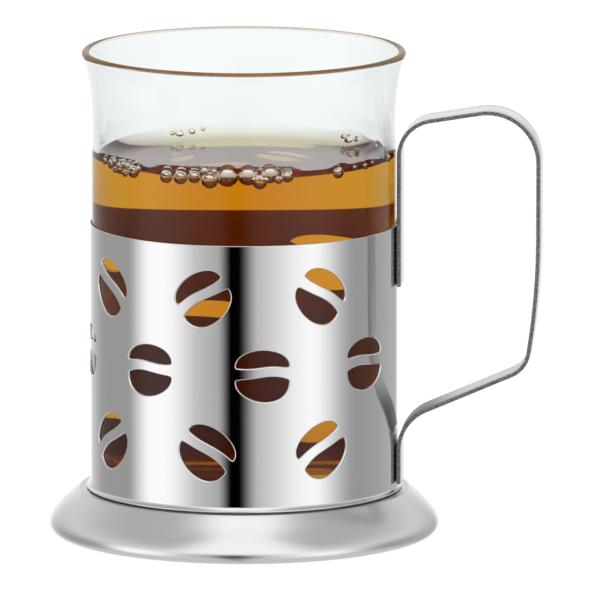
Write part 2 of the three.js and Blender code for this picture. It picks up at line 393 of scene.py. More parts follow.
def grown(name, base, tree, values=()):
    """The plain mesh that a Geometry Nodes tree makes of a base mesh, with values for its inputs."""
    helper = bpy.data.objects.new(name + "_helper", base)
    bpy.context.scene.collection.objects.link(helper)
    modifier = helper.modifiers.new("Shape", "NODES")
    modifier.node_group = tree
    for item in tree.interface.items_tree:
        if item.item_type == "SOCKET" and item.in_out == "INPUT" and item.name in values:
            modifier[item.identifier] = values[item.name]
    depsgraph = bpy.context.evaluated_depsgraph_get()
    mesh = bpy.data.meshes.new_from_object(helper.evaluated_get(depsgraph))
    mesh.name = name
    bpy.data.objects.remove(helper)
    bpy.data.meshes.remove(base)
    if not mesh.polygons:
        raise RuntimeError(f"The node tree of {name} made no faces")
    return mesh


# Meshes


def arc(centre_x, centre_y, radius, start, end, steps=ARC_STEPS):
    """Points on an arc, from one angle to another in degrees."""
    points = []
    for i in range(steps + 1):
        turn = math.radians(start + (end - start) * i / steps)
        points.append((centre_x + radius * math.cos(turn), centre_y + radius * math.sin(turn)))
    return points


def bow(start, control, end, steps=2 * ARC_STEPS):
    """Points on a quadratic curve."""
    points = []
    for i in range(steps + 1):
        t = i / steps
        points.append(tuple(
            (1 - t) ** 2 * a + 2 * t * (1 - t) * b + t * t * c for a, b, c in zip(start, control, end)))
    return points


def without_doubles(outline):
    """Leaves out points that repeat the one before."""
    kept = []
    for point in outline:
        if not kept or math.dist(point, kept[-1]) > SAME:
            kept.append(point)
    if math.dist(kept[0], kept[-1]) < SAME:
        kept.pop()
    return kept


def turned(name, outline, steps=ROUND_STEPS):
    """Turns an outline of radius and height, drawn anticlockwise, round the Z axis."""
    vertices = []
    rings = []
    for radius, height in without_doubles(outline):
        if radius < SAME:
            rings.append([len(vertices)] * steps)
            vertices.append((0, 0, height))
            continue
        rings.append(list(range(len(vertices), len(vertices) + steps)))
        for k in range(steps):
            turn = 2 * math.pi * k / steps
            vertices.append((radius * math.cos(turn), radius * math.sin(turn), height))
    on_axis = outline[0][0] < SAME
    following = rings[1:] if on_axis else rings[1:] + rings[:1]
    faces = []
    for low, high in zip(rings, following):
        for k in range(steps):
            after = (k + 1) % steps
            corners = [low[k], low[after], high[after], high[k]]
            faces.append(list(dict.fromkeys(corners)))
    mesh = bpy.data.meshes.new(name)
    mesh.from_pydata(vertices, [], faces)
    return mesh


def smoothed(mesh, crease=35):
    """Shades a mesh smooth, apart from edges sharper than the crease in degrees."""
    mesh.shade_smooth()
    mesh.set_sharp_from_angle(angle=math.radians(crease))
    return mesh


def piece(mesh, body, material=None, node=None):
    """Puts a mesh on its body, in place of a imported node."""
    if material is not None:
        mesh.materials.clear()
        mesh.materials.append(material)
    made = bpy.data.objects.new(mesh.name, mesh)
    bpy.context.scene.collection.objects.link(made)
    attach(made, body)
    if node is not None:
        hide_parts(node)
    return made


# Finishes


def new_material(name):
    """A material, its board and its main shader node."""
    material = bpy.data.materials.new(name)
    material.use_nodes = True
    board = Board(material.node_tree)
    shader = material.node_tree.nodes["Principled BSDF"]
    return material, board, shader


def feed(board, shader, **wires):
    """Links values that change over the surface into a shader's sockets."""
    for name, wire in wires.items():
        board.tree.links.new(wire.socket, shader.inputs[name.replace("_", " ")])


def show(board, surface, volume=None):
    """Links a surface, and what fills the space behind it, to a material's output."""
    output = board.tree.nodes["Material Output"]
    board.tree.links.new(surface.socket, output.inputs["Surface"])
    if volume is not None:
        board.tree.links.new(volume.socket, output.inputs["Volume"])


def opaque(tint, strength=1.0):
    """A colour times a strength, as sockets take it."""
    return (*(channel * strength for channel in tint), 1.0)


WHITE = opaque((1.0, 1.0, 1.0))

# Roughness of the polished face, and how much rougher the sheet's bare inner face is
POLISH, BARE_ROUGHNESS = 0.022, 0.5

# A face of satin steel with painted shade: the tone of that shade, and how much rougher the face is
DULL_SHADE, DULL_ROUGHNESS = 0.3, 0.2

# Sheared edges: fineness of their speckle, its darkest and lightest shade, its relief against the
# grain's, and how much rougher they are
SPECKLE = 1800.0
TORN_DARK, TORN_LIGHT = 0.4, 1.5
TORN_RELIEF = 3.0
TORN_ROUGHNESS = 0.16


def own_place(board):
    return board.node("ShaderNodeTexCoord", output="Object")


def polished_steel(finish, inner_radius):
    """Sheet that is mirror-polished outside, with a faint roll grain, and left dull inside."""
    material, board, shader = new_material("polished_steel")
    shader.inputs["Metallic"].default_value = 1.0
    place = own_place(board)
    clouds = board.noise(place, 40.0)
    x, y, z = place.parts()
    grain = board.noise(board.vector(x * 9000.0, y * 9000.0, z * 60.0), 1.0)
    dull = flat_length(x, y) < inner_radius
    tint = board.blend(clouds, opaque(finish.polished), opaque(finish.polished, 0.985))
    tint = board.blend(dull, tint, opaque(finish.pickled))
    rough = POLISH + clouds * 0.012 + grain * 0.02 + dull * BARE_ROUGHNESS
    feed(board, shader, Base_Color=tint, Roughness=rough, Normal=board.bump(grain, 0.02, 0.02 * MM))
    return material


def satin_steel(name, finish, grain_place, dullness, cut_edge=None, dull_face=None):
    """Satin sheet: fine drawn lines along the sheet, sheared edges, and where asked a rougher face with
    painted shade.
    """
    material, board, shader = new_material(name)
    shader.inputs["Metallic"].default_value = 1.0
    place = own_place(board)
    grain = board.noise(grain_place(board, place), 1.0, 3.0)
    clouds = board.noise(place, 60.0)
    tint = board.blend(grain, opaque(finish.satin, 0.94), opaque(finish.satin))
    rough = dullness + grain * 0.08 + clouds * 0.03
    height = grain
    # Where asked, painted shade darkens the face, which is also made rougher
    if dull_face is not None:
        dull = dull_face(board, place)
        tint = board.blend(dull, tint, opaque(finish.satin, DULL_SHADE))
        rough = rough + dull * DULL_ROUGHNESS
    if cut_edge is not None:
        mask = cut_edge(place)
        speckle = board.noise(place, SPECKLE, 3.0).fade(0.2, 0.8)
        torn = board.blend(speckle, opaque(finish.cut, TORN_DARK), opaque(finish.cut, TORN_LIGHT))
        tint = board.blend(mask, tint, torn)
        rough = rough + mask * (TORN_ROUGHNESS + speckle * 0.1)
        height = grain * (1.0 - mask) + speckle * mask * TORN_RELIEF
    feed(board, shader, Base_Color=tint, Roughness=rough, Normal=board.bump(height, 0.12, 0.03 * MM))
    return material


GRAIN_ACROSS = 5200.0  # steps of the grain in a metre across its lines
GRAIN_ALONG = 90.0     # and along them
GRAIN_ROUND = 5.0      # and in a turn of one radian


def round_grain(board, place):
    """Lines that run round the axis."""
    x, y, z = place.parts()
    radius = flat_length(x, y)
    return board.vector(
        x / radius * GRAIN_ROUND, y / radius * GRAIN_ROUND, (radius + z) * GRAIN_ACROSS)


def long_grain(board, place):
    """Lines that run along the strap."""
    x, y, z = place.parts()
    return board.vector(x * GRAIN_ALONG, y * GRAIN_ACROSS, z * GRAIN_ALONG)


GLASS_IOR = 1.47
TEA_IOR = 1.333
EDGE_POWER = 3.0     # how steeply the tea climbs towards the glass
WALL_MIRROR = 0.6    # strength of the wall's reflections
LIP_MIRROR = 1.0     # and of the lip's
LIP_DULLNESS = 0.25  # roughness of the lip
LIP_HAZE = 0.2       # share of the painted tea light, a matt golden colour, in the lip


def clear_glass(name, shade, ior, mirror=WALL_MIRROR, dullness=0.0, haze=None):
    """Blown tube glass, with the slightest waves and smears.

    Where given, a matt colour is mixed in as painted light: it stands in for the tea's light that the
    wall carries up to the lip.
    """
    material, board, shader = new_material(name)
    shader.inputs["Transmission Weight"].default_value = 1.0
    shader.inputs["IOR"].default_value = ior
    shader.inputs["Specular Tint"].default_value = opaque([mirror] * 3)
    place = own_place(board)
    waves = board.noise(place, 45.0, 1.0)
    smears = board.noise(place, 160.0, 3.0)
    tint = board.blend(waves, opaque(shade), WHITE)
    rough = smears.fade(0.62, 0.9) * 0.03 + dullness
    feed(board, shader, Base_Color=tint, Roughness=rough, Normal=board.bump(waves, 0.05, 0.4 * MM))
    if haze is not None:
        cloudy = board.node("ShaderNodeBsdfDiffuse", None, {"Color": opaque(haze)})
        show(board, board.mix(LIP_HAZE, Wire(board, shader.outputs["BSDF"]), cloudy))
    return material


def brewed_tea(finish, wall, low):
    """Clear tea that takes up blue and green light along its depth.

    Where it lies against the glass, outside the wall's radius or below a height, the glass's own
    face bends the light, so the tea's face only lets it pass.
    """
    material, board, shader = new_material("brewed_tea")
    shader.inputs["Transmission Weight"].default_value = 1.0
    shader.inputs["IOR"].default_value = TEA_IOR
    shader.inputs["Roughness"].default_value = 0.0
    place = own_place(board)
    drift = board.noise(place, 30.0)
    tint = board.blend(drift, opaque((1.0, 0.985, 0.96)), WHITE)
    ripple = board.noise(place, 70.0, 1.0)
    feed(board, shader, Base_Color=tint, Normal=board.bump(ripple, 0.05, 0.3 * MM))
    x, y, z = place.parts()
    against_glass = (flat_length(x, y) > wall).at_least(z < low)
    past = board.node("ShaderNodeBsdfTransparent")
    depth = board.node("ShaderNodeVolumeAbsorption", None, {
        "Color": opaque(finish.tea), "Density": finish.tea_depth})
    show(board, board.mix(against_glass, Wire(board, shader.outputs["BSDF"]), past), depth)
    return material


def bubble_film(wall, tea):
    """A film of tea that shines where it is seen at a slant. Under the tea there is no film."""
    material, board, shader = new_material("bubble_film")
    shader.inputs["Metallic"].default_value = 1.0
    shader.inputs["Roughness"].default_value = 0.02
    place = own_place(board)
    drift = board.noise(place, 300.0)
    tint = board.blend(drift, opaque((0.92, 0.8, 0.71)), opaque((1.0, 0.94, 0.89)))
    feed(board, shader, Base_Color=tint)
    x, y, z = place.parts()
    near = (1.0 - (wall - flat_length(x, y)) / tea.reach).at_least(0.0)
    surface = tea.level + (tea.climb + tea.lift) * near ** EDGE_POWER
    rim = board.node("ShaderNodeLayerWeight", None, {"Blend": 0.25}, output="Fresnel")
    shine = (rim * 1.1).at_most(1.0) * (z > surface)
    past = board.node("ShaderNodeBsdfTransparent", None, {"Color": opaque((0.985, 0.955, 0.93))})
    show(board, board.mix(shine, past, Wire(board, shader.outputs["BSDF"])))
    return material


# Filling line

# Bubbles at the edge of the tea: degrees round the cup from the camera's side, radius and height
# of the middle above the tea's level, both in millimetres.
BUBBLES = (
    (-80, 0.35, 6.6), (-76, 0.3, 5.4), (-72, 0.35, 5.9), (-70.5, 0.3, 4.4), (-66.5, 0.5, 4.2),
    (-86, 0.5, 2.2), (-69, 0.9, 1.5), (-64, 1.2, 1.2), (-61, 0.9, 2.2), (-57.5, 1.5, 0.7),
    (-54.5, 1.1, 1.9), (-51.5, 1.0, 1.6), (-49.3, 1.6, 0.5), (-46, 0.9, 1.2), (-60, 0.8, 0.1),
    (-53.5, 0.9, -0.2), (-32.4, 1.62, 0.3), (-26, 1.75, 0.4), (-20, 1.6, 0.8), (-13.7, 2.1, 0.1),
    (-15.4, 1.1, 2.5), (-11.5, 0.7, 2.4), (-6.6, 2.75, 1.2), (1.9, 2.55, 1.4), (6.6, 1.75, -0.3),
    (10.8, 2.4, 1.7), (14, 0.95, 0.2), (17.8, 1.6, 1.0), (4.2, 0.8, 0.4), (8.8, 0.9, 0.2),
    (40.8, 1.45, 0.8), (49, 0.65, 1.4), (55.5, 0.75, 1.3), (60, 0.5, 1.8), (76, 0.95, 1.5),
    (73, 0.5, 2.4), (83, 0.7, 2.2), (88.5, 0.55, 2.7), (69, 0.4, 2.2),
    (-151.5, 1.15, 1.7), (-148.5, 0.7, 1.7), (-157.5, 0.9, 1.9), (-162.5, 0.55, 2.3),
    (125, 0.9, 1.7), (129, 1.45, 1.5), (133.5, 0.9, 1.8), (108, 0.6, 1.2),
)
BUBBLE_PULL = 3.8   # degrees over which a bubble draws up the tea's edge
BUBBLE_CROWD = 1.5  # millimetres of bubble that draw it up most of the way


def bore(glass):
    """Inner radius of the straight wall."""
    return glass.tube / 2 - glass.wall


def tea_edge(place, cup):
    """How far the tea climbs the glass at a place: more where bubbles crowd, and at the back."""
    turn = math.degrees(math.atan2(place.y, place.x) - cup.stage.azimuth) + 90
    crowd = 0.0
    for at, size, _ in BUBBLES:
        apart = (turn - at + 180) % 360 - 180
        crowd += size * math.exp(-(apart / BUBBLE_PULL) ** 2)
    back = max(-math.cos(math.radians(turn)), 0.0)
    lift = cup.tea.lift * math.tanh(crowd / BUBBLE_CROWD)
    return cup.tea.climb + lift + cup.tea.back_rise * back ** 2


def tea_height(place, gap, cup):
    """Height of the tea's surface at a place that is a gap away from the glass."""
    return cup.tea.level + tea_edge(place, cup) * max(1 - gap / cup.tea.reach, 0) ** EDGE_POWER


# Glass


def glass_outline(glass, contact):
    """The wall is one thickness up to the lip, which is a half round across it.

    The inner wall has a ring of points at the height to which the tea reaches.
    """
    foot = GLASS_LOW.z
    radius = glass.tube / 2
    inner = bore(glass)
    floor = foot + glass.floor
    flare = (glass.flare_rise ** 2 + glass.flare_out ** 2) / (2 * glass.flare_out)
    flare_end = 180 - math.degrees(math.asin(glass.flare_rise / flare))
    lip = glass.wall / 2
    lip_arm = flare + lip
    lip_z = GLASS_HIGH.z - lip
    flare_x = radius + flare
    flare_z = lip_z - lip_arm * math.sin(math.radians(flare_end))
    lip_x = flare_x + lip_arm * math.cos(math.radians(flare_end))
    corner, inner_corner = glass.corner, glass.inner_corner
    return [
        (0, foot),
        *arc(radius - corner, foot + corner, corner, -90, 0),
        *arc(flare_x, flare_z, flare, 180, flare_end, 2 * ARC_STEPS),
        *arc(lip_x, lip_z, lip, flare_end - 180, flare_end),
        *arc(flare_x, flare_z, flare + glass.wall, flare_end, 180, 2 * ARC_STEPS),
        (inner, contact),
        *arc(inner - inner_corner, floor + inner_corner, inner_corner, 0, -90),
        (0, floor),
    ]


class CUP_OT_glass(Operator):
    """Make the loose glass with its flared lip"""

    bl_idname = "cup.make_glass"
    bl_label = "Make glass"

    def execute(self, context):
        cup = context.scene.tea_cup
        contact = cup.tea.level + cup.tea.climb
        outline = without_doubles(glass_outline(cup.glass, contact))
        mesh = turned("beaker", outline)
        ring = next(i for i, point in enumerate(outline) if point[1] == contact)
        finish = cup.finish
        dry, wetted, lip = range(3)
        mesh.materials.append(clear_glass("clear_glass", finish.glass, GLASS_IOR))
        mesh.materials.append(clear_glass("wetted_glass", finish.glass, GLASS_IOR / TEA_IOR))
        # The lip glass carries painted light: a warm tint and a matt golden colour for the tea's light
        # in the wall
        mesh.materials.append(clear_glass(
            "lip_glass", finish.lip, GLASS_IOR, LIP_MIRROR, LIP_DULLNESS, finish.haze))
        lip_foot = GLASS_HIGH.z - cup.glass.wall / 2
        for face in mesh.polygons:
            below = wetted if face.index >= ring * ROUND_STEPS else dry
            face.material_index = lip if face.center.z > lip_foot else below
        middle = (cup.glass.tube - cup.glass.wall) / 2
        for vertex in mesh.vertices:
            inside = math.hypot(vertex.co.x, vertex.co.y) < middle
            if inside and abs(vertex.co.z - contact) < SAME:
                vertex.co.z = tea_height(vertex.co, cup.tea.overlap, cup)
        piece(smoothed(mesh), "glass", node="glass_beaker")
        return {"FINISHED"}


# Sleeve

RIM_RINGS = 8                # rings of a cutter, from the point above the sheet to that below it
RIM_TOP, RIM_FOOT = 2, 6     # the rings between which a cutter rounds the rim
RIM_TURN = math.radians(70)  # how far the rounding turns before it runs out of the sheet
RIM_PAST = 0.3               # how far a cutter stands above the sheet, as a share of the rim
CUTTER_DEPTH = 2.0           # how far it reaches below the rim, in thicknesses of the sheet
RUN_STEP = 0.03              # radians on each side over which the outline's run is measured
SEAM_BEFORE = 0.75           # from the seam to the middle row's first bean, as a share of the pitch
BARE_FROM = 0.7              # how deep in the sheet its bare inner face starts, as a share
BEAN_NUMBERS = (
    "Length", "Height", "Strip", "Rise", "Arch", "Swing", "Tip",
    "Upper lean", "Lower lean", "Rim", "Sheet")


def bean_point(given, turn):
    """A point on the outline of a half bean, at a turn round it."""
    side = given["Side"]
    half = given["Length"] * 0.5
    along = turn.cos()
    lift = turn.sin()
    outer = lift.at_least(0.0)
    inner = (-lift).at_least(0.0)
    strip_half = given["Strip"] * 0.5 + given["Tip"]
    belly = given["Height"] * 0.5 - side * given["Rise"] - strip_half
    bow_up = given["Arch"] * (1.0 - along * along) + given["Swing"] * (along * math.pi).sin()
    lean = given["Upper lean"] * (side > 0.0) + given["Lower lean"] * (side < 0.0)
    swell = belly * outer - given["Tip"] * inner ** 0.5
    middle = given["Rise"] + bow_up * (lift < 0.0)
    return along * half + lean * outer * outer, middle + side * (strip_half + swell)


def bean_half_tree():
    """A closed cutter for one half of a bean: a bent prism that widens where it leaves the sheet."""
    board = ShapeBoard("bean_half", (*BEAN_NUMBERS, "Side", "Mirror"), takes_mesh=False)
    given = board.given
    side, mirror, rim = given["Side"], given["Mirror"], given["Rim"]
    grid = board.node("GeometryNodeMeshGrid", None, {
        "Size X": 1.0, "Size Y": 1.0, "Vertices X": BEAN_STEPS + 1, "Vertices Y": RIM_RINGS + 1})
    across, down, _ = board.position().parts()
    turn = (across + 0.5) * (2 * math.pi)
    ring = (down + 0.5) * float(RIM_RINGS)

    x, y = bean_point(given, turn)
    ahead_x, ahead_y = bean_point(given, turn + RUN_STEP)
    behind_x, behind_y = bean_point(given, turn - RUN_STEP)
    run_x, run_y = ahead_x - behind_x, ahead_y - behind_y
    run = flat_length(run_x, run_y)

    above = ring < RIM_TOP - 0.5
    below = ring > RIM_FOOT + 0.5
    bend = ((RIM_FOOT - ring) / float(RIM_FOOT - RIM_TOP)).at_least(0.0).at_most(1.0) * RIM_TURN
    out = rim * (1.0 - bend.cos() + above * (RIM_PAST * math.tan(RIM_TURN)))
    height = rim * (bend.sin() - 1.0 + above * RIM_PAST) - below * given["Sheet"] * CUTTER_DEPTH
    open_ring = 1.0 - (ring < 0.5) - (ring > RIM_RINGS - 0.5)
    heart_y = given["Rise"] + side * (given["Height"] * 0.25 + given["Strip"] * 0.25)
    wide_x = (x + run_y / run * out * side) * open_ring * mirror
    wide_y = heart_y + (y - run_x / run * out * side - heart_y) * open_ring
    shaped = board.place(grid, board.vector(wide_x, wide_y, height))
    closed = board.node("GeometryNodeMergeByDistance", None, {
        "Geometry": shaped, "Distance": WELD / 2})
    board.result(board.node("GeometryNodeFlipFaces", None, {
        "Mesh": closed, "Selection": side * mirror > 0.0}))
    return board.tree


def pierced_tree(material):
    """Cuts rows of beans out of a flat sheet, then rolls the sheet into a sleeve."""
    board = ShapeBoard("pierced_sleeve", (
        *BEAN_NUMBERS, "Radius", "Columns", "First low", "First middle", "First top", "Tilt",
        "Low row", "Top row", "Leg", "Askew", "Seam"))
    given = board.given
    half_tree = bean_half_tree()
    beans = []
    sizes = {name: given[name] for name in BEAN_NUMBERS}
    for mirror in (1.0, -1.0):
        halves = []
        for side in (1.0, -1.0):
            halves.append(board.node("GeometryNodeGroup", {"node_tree": half_tree}, {
                **sizes, "Side": side, "Mirror": mirror}))
        beans.append(board.node("GeometryNodeJoinGeometry", None, {0: halves}))

    radius = given["Radius"]
    pitch = 2 * math.pi / given["Columns"]
    middle = (given["Low row"] + given["Top row"]) * 0.5
    # Height, first bean, tilt, 1 where the mirrored bean comes first, room kept for the legs, askew
    rows = (
        (given["Low row"], given["First low"], given["Tilt"], 0.0, given["Leg"], None),
        (middle, given["First middle"], 0.0, 0.0, -1.0, given["Askew"]),
        (given["Top row"], given["First top"], given["Tilt"], 1.0, given["Leg"], None),
    )
    index = board.node("GeometryNodeInputIndex")
    around, _, _ = board.position().parts()
    cutters = []
    for height, first, tilt, flip, leg, askew in rows:
        start = board.vector(first * radius, height, 0.0)
        line = board.node("GeometryNodeMeshLine", None, {
            "Count": given["Columns"], "Start Location": start,
            "Offset": board.vector(pitch * radius, 0.0, 0.0)})
        if askew is not None:
            climb = askew * ((around / radius).sin() + 1.0)
            line = board.place(line, board.vector(around, height + climb, 0.0))
        free = abs(around) > leg
        odd = index.math("MODULO", index + flip, 2.0)
        for bean, wanted, lean in ((beans[0], 1.0 - odd, -tilt), (beans[1], odd, tilt)):
            turn = board.node("FunctionNodeEulerToRotation", None, {
                0: board.vector(0.0, 0.0, lean)})
            cutters.append(board.node("GeometryNodeInstanceOnPoints", None, {
                "Points": line, "Selection": wanted * free > 0.5, "Instance": bean, "Rotation": turn}))
    loose = board.node("GeometryNodeRealizeInstances", None, {
        0: board.node("GeometryNodeJoinGeometry", None, {0: cutters})})
    cut = board.without(given["Mesh"], loose)

    seam = given["Seam"]
    far_end = seam + radius * (2 * math.pi)
    ends = (around < seam + WELD / 2) + (around > far_end - WELD / 2)
    open_sheet = board.node("GeometryNodeDeleteGeometry", {"domain": "FACE"}, {
        "Geometry": cut, "Selection": ends > 0.5})
    along, height, proud = board.position().parts()
    turn = along / radius
    rolled = board.place(open_sheet, board.vector(
        turn.cos() * (radius + proud), turn.sin() * (radius + proud), height))
    welded = board.node("GeometryNodeMergeByDistance", None, {"Geometry": rolled, "Distance": WELD})
    board.result(welded, material)
    return board.tree


def sleeve_outline(sleeve, radius):
    """Section of the sheet with its out-turned foot: distance from the outer face, and height."""
    foot, top = SLEEVE_LOW.z, SLEEVE_HIGH.z
    sheet, fillet, edge = sleeve.sheet, sleeve.fillet, sleeve.edge
    flange = SLEEVE_HIGH.y - radius
    bend_z = foot + sheet + fillet
    past = max(fillet + edge - flange, 0)
    upper_start = -90 - math.degrees(math.asin(past / fillet))
    under_end = -90 - math.degrees(math.asin(past / (fillet + sheet)))
    return [
        *arc(flange - edge, foot + edge, edge, -90, 0, EDGE_STEPS),
        *arc(flange - edge, foot + sheet - edge, edge, 0, 90, EDGE_STEPS),
        *arc(fillet, bend_z, fillet, upper_start, -180, FILLET_STEPS),
        *arc(-edge, top - edge, edge, 0, 90, EDGE_STEPS),
        *arc(edge - sheet, top - edge, edge, 90, 180, EDGE_STEPS),
        *arc(fillet, bend_z, fillet + sheet, -180, under_end, FILLET_STEPS),
    ]


def flat_sheet(outline, start, end, columns):
    """A closed sheet of one section, laid flat along X with its height along Y."""
    outline = without_doubles(outline)
    count = len(outline)
    vertices = []
    for k in range(columns + 1):
        x = start + (end - start) * k / columns
        vertices.extend((x, height, proud) for proud, height in outline)
    faces = []
    for k in range(columns):
        for i in range(count):
            after = (i + 1) % count
            here, there = k * count, (k + 1) * count
            faces.append((here + i, there + i, there + after, here + after))
    faces.append(tuple(range(count)))
    faces.append(tuple(reversed(range(columns * count, (columns + 1) * count))))
    mesh = bpy.data.meshes.new("flat_sheet")
    mesh.from_pydata(vertices, [], faces)
    return mesh


def true_round(mesh, radius, sheet, low, high):
    """Gives the rolled wall the normals of a true round wall, so that it mirrors cleanly."""
    normals = [(0.0, 0.0, 0.0)] * len(mesh.loops)
    for face in mesh.polygons:
        steep = abs(face.normal.z) < 0.05
        outward = face.normal.dot(Vector((face.center.x, face.center.y, 0)).normalized())
        faces_axis = steep and outward < -0.9
        for loop in face.loop_indices:
            at = mesh.vertices[mesh.loops[loop].vertex_index].co
            if not low - WELD < at.z < high + WELD:
                continue
            flat = Vector((at.x, at.y, 0))
            if abs(flat.length - radius) < WELD:
                normals[loop] = tuple(flat.normalized())
            elif faces_axis and abs(flat.length - radius + sheet) < WELD:
                normals[loop] = tuple(-flat.normalized())
    mesh.normals_split_custom_set(normals)


class CUP_OT_sleeve(Operator):
    """Make the rolled sleeve with its bean cut-outs"""

    bl_idname = "cup.make_sleeve"
    bl_label = "Make pierced sleeve"

    def execute(self, context):
        cup = context.scene.tea_cup
        sleeve, bean = cup.sleeve, cup.bean
        radius = cup.glass.tube / 2 + sleeve.clearance + sleeve.sheet
        wall_foot = SLEEVE_LOW.z + sleeve.sheet + sleeve.fillet
        wall_top = SLEEVE_HIGH.z
        pitch = 2 * math.pi / bean.columns
        seam = (bean.first_middle - SEAM_BEFORE * pitch) * radius
        seam_end = seam + 2 * math.pi * radius
        sheet = flat_sheet(sleeve_outline(sleeve, radius), seam, seam_end, ROUND_STEPS)
        leg_half = (STRAP_HIGH.y - STRAP_LOW.y) / 2
        tree = pierced_tree(polished_steel(cup.finish, radius - BARE_FROM * sleeve.sheet))
        mesh = grown("pierced_sleeve", sheet, tree, {
            **labelled(sleeve), **labelled(bean), "Radius": radius, "Seam": seam,
            "Low row": wall_foot + bean.edge, "Top row": wall_top - bean.edge,
            "Leg": leg_half + bean.length / 2})
        smoothed(mesh, 40)
        true_round(mesh, radius, sleeve.sheet, wall_foot, wall_top - sleeve.edge)
        piece(mesh, "holder", node="sleeve")
        return {"FINISHED"}


# Base

BASE_DULLNESS = 0.165  # least roughness of the turned sheet
LAND_DULLING = 0.28    # share of painted shade on the flat land at the sleeve's foot, and of its added roughness


def skirt_outline(base):
    """A pressed ring: the land that carries the sleeve, the flared skirt and the turned-in foot."""
    top, radius = SKIRT_HIGH.z, SKIRT_HIGH.y
    sheet, foot_round, edge = base.sheet, base.foot_round, base.edge
    land = SLEEVE_HIGH.y + base.ledge
    inner_land = land - sheet * math.tan(base.slope / 2)
    inner_radius = radius - sheet
    foot = radius - foot_round
    hole = land - base.land
    heel = foot - base.foot_width
    drop = math.tan(base.slope)
    inner_control = (inner_radius, top - sheet - (inner_radius - inner_land) * drop)
    outer_control = (radius, top - (radius - land) * drop)
    return [
        *bow((inner_land, top - sheet), inner_control, (inner_radius, foot_round)),
        *arc(foot, foot_round, foot_round - sheet, 0, -90),
        *arc(heel + edge, sheet - edge, edge, 90, 180, EDGE_STEPS),
        *arc(heel + edge, edge, edge, 180, 270, EDGE_STEPS),
        *arc(foot, foot_round, foot_round, -90, 0),
        *bow((radius, foot_round), outer_control, (land, top)),
        *arc(hole + edge, top - edge, edge, 90, 180, EDGE_STEPS),
        *arc(hole + edge, top - sheet + edge, edge, 180, 270, EDGE_STEPS),
    ]


class CUP_OT_base(Operator):
    """Make the flared skirt and the plate that the glass stands on"""

    bl_idname = "cup.make_base"
    bl_label = "Make base"

    def execute(self, context):
        cup = context.scene.tea_cup
        land = SLEEVE_HIGH.y + cup.base.ledge

        # Painted shade on the flat land where the sleeve stands; the land is also rougher there
        def dull_land(board, place):
            x, y, _ = place.parts()
            return (flat_length(x, y) < land + cup.base.edge) * LAND_DULLING

        satin = satin_steel(
            "satin_steel_turned", cup.finish, round_grain, BASE_DULLNESS, dull_face=dull_land)
        skirt = smoothed(turned("flared_skirt", skirt_outline(cup.base)), 30)
        piece(skirt, "holder", satin, "base_skirt")
        edge = cup.base.edge
        radius = PLATE_HIGH.y
        low, high = PLATE_LOW.z, PLATE_HIGH.z
        outline = [
            (0, low),
            *arc(radius - edge, low + edge, edge, -90, 0, EDGE_STEPS),
            *arc(radius - edge, high - edge, edge, 0, 90, EDGE_STEPS),
            (0, high),
        ]
        plate = smoothed(turned("glass_rest", outline), 30)
        piece(plate, "holder", satin, "floor_plate")
        return {"FINISHED"}


# Handle

STRAP_DULLNESS = 0.19                # least roughness of the drawn strip
INSIDE_DULLING = 0.3                 # share of painted shade, and of added roughness, on the face inside the loop, far from the legs
LEG_NEAR, LEG_FAR = 5 * MM, 18 * MM  # distances from the legs: nearer than the first the inside has full painted shade, past the second only its least share
CUT_EDGE = 0.6                       # share of the edge's rounding that is torn by the shears


def strap_corners(strap):
    """Corners of the strap's middle line, seen from the side, with the bend at each."""
    leg_x = STRAP_LOW.x + strap.sheet / 2
    grip_x = STRAP_HIGH.x - strap.sheet / 2
    reach = grip_x - leg_x
    upper_end = SLEEVE_HIGH.z - strap.upper_foot
    upper_bend = SLEEVE_HIGH.z + strap.rise
    grip_top = upper_bend + reach * math.tan(strap.arm_climb)
    lower_end = STRAP_LOW.z
    lower_bend = lower_end + strap.lower_bend
    foot_x = grip_x - strap.grip_lower * math.tan(strap.grip_lean)
    grip_foot = lower_bend + (foot_x - leg_x) * math.tan(strap.arm_drop)
    ease = strap.grip_ease * strap.grip_lower / math.tan(strap.grip_lean / 2)
    return [
        (leg_x, upper_end, 0.0),
        (leg_x, upper_bend, strap.upper_leg),
        (grip_x, grip_top, strap.grip_top),
        (grip_x, grip_foot + strap.grip_lower, ease),
        (foot_x, grip_foot, strap.grip_foot),
        (leg_x, lower_bend, strap.lower_leg),
        (leg_x, lower_end, 0.0),
    ]


def strap_tree(material):
    """Bends a strip with rounded edges along a line of corners."""
    board = ShapeBoard("bent_strap", ("Width", "Sheet", "Edge"))
    given = board.given
    line = board.node("GeometryNodeMeshToCurve", None, {0: given["Mesh"]})
    path = board.node("GeometryNodeFilletCurve", {"mode": "POLY"}, {
        "Curve": line, "Count": BEND_STEPS, "Radius": board.named("bend"), "Limit Radius": True})
    path = board.node("GeometryNodeSetCurveNormal", {"mode": "FREE"}, {
        "Curve": path, "Normal": (0.0, 1.0, 0.0)})
    strip = board.node("GeometryNodeCurvePrimitiveQuadrilateral", {"mode": "RECTANGLE"}, {
        "Width": given["Width"], "Height": given["Sheet"]})
    strip = board.node("GeometryNodeFilletCurve", {"mode": "POLY"}, {
        "Curve": strip, "Count": STRIP_STEPS, "Radius": given["Edge"]})
    swept = board.node("GeometryNodeCurveToMesh", None, {
        "Curve": path, "Profile Curve": strip, "Fill Caps": True})
    board.result(swept, material)
    return board.tree


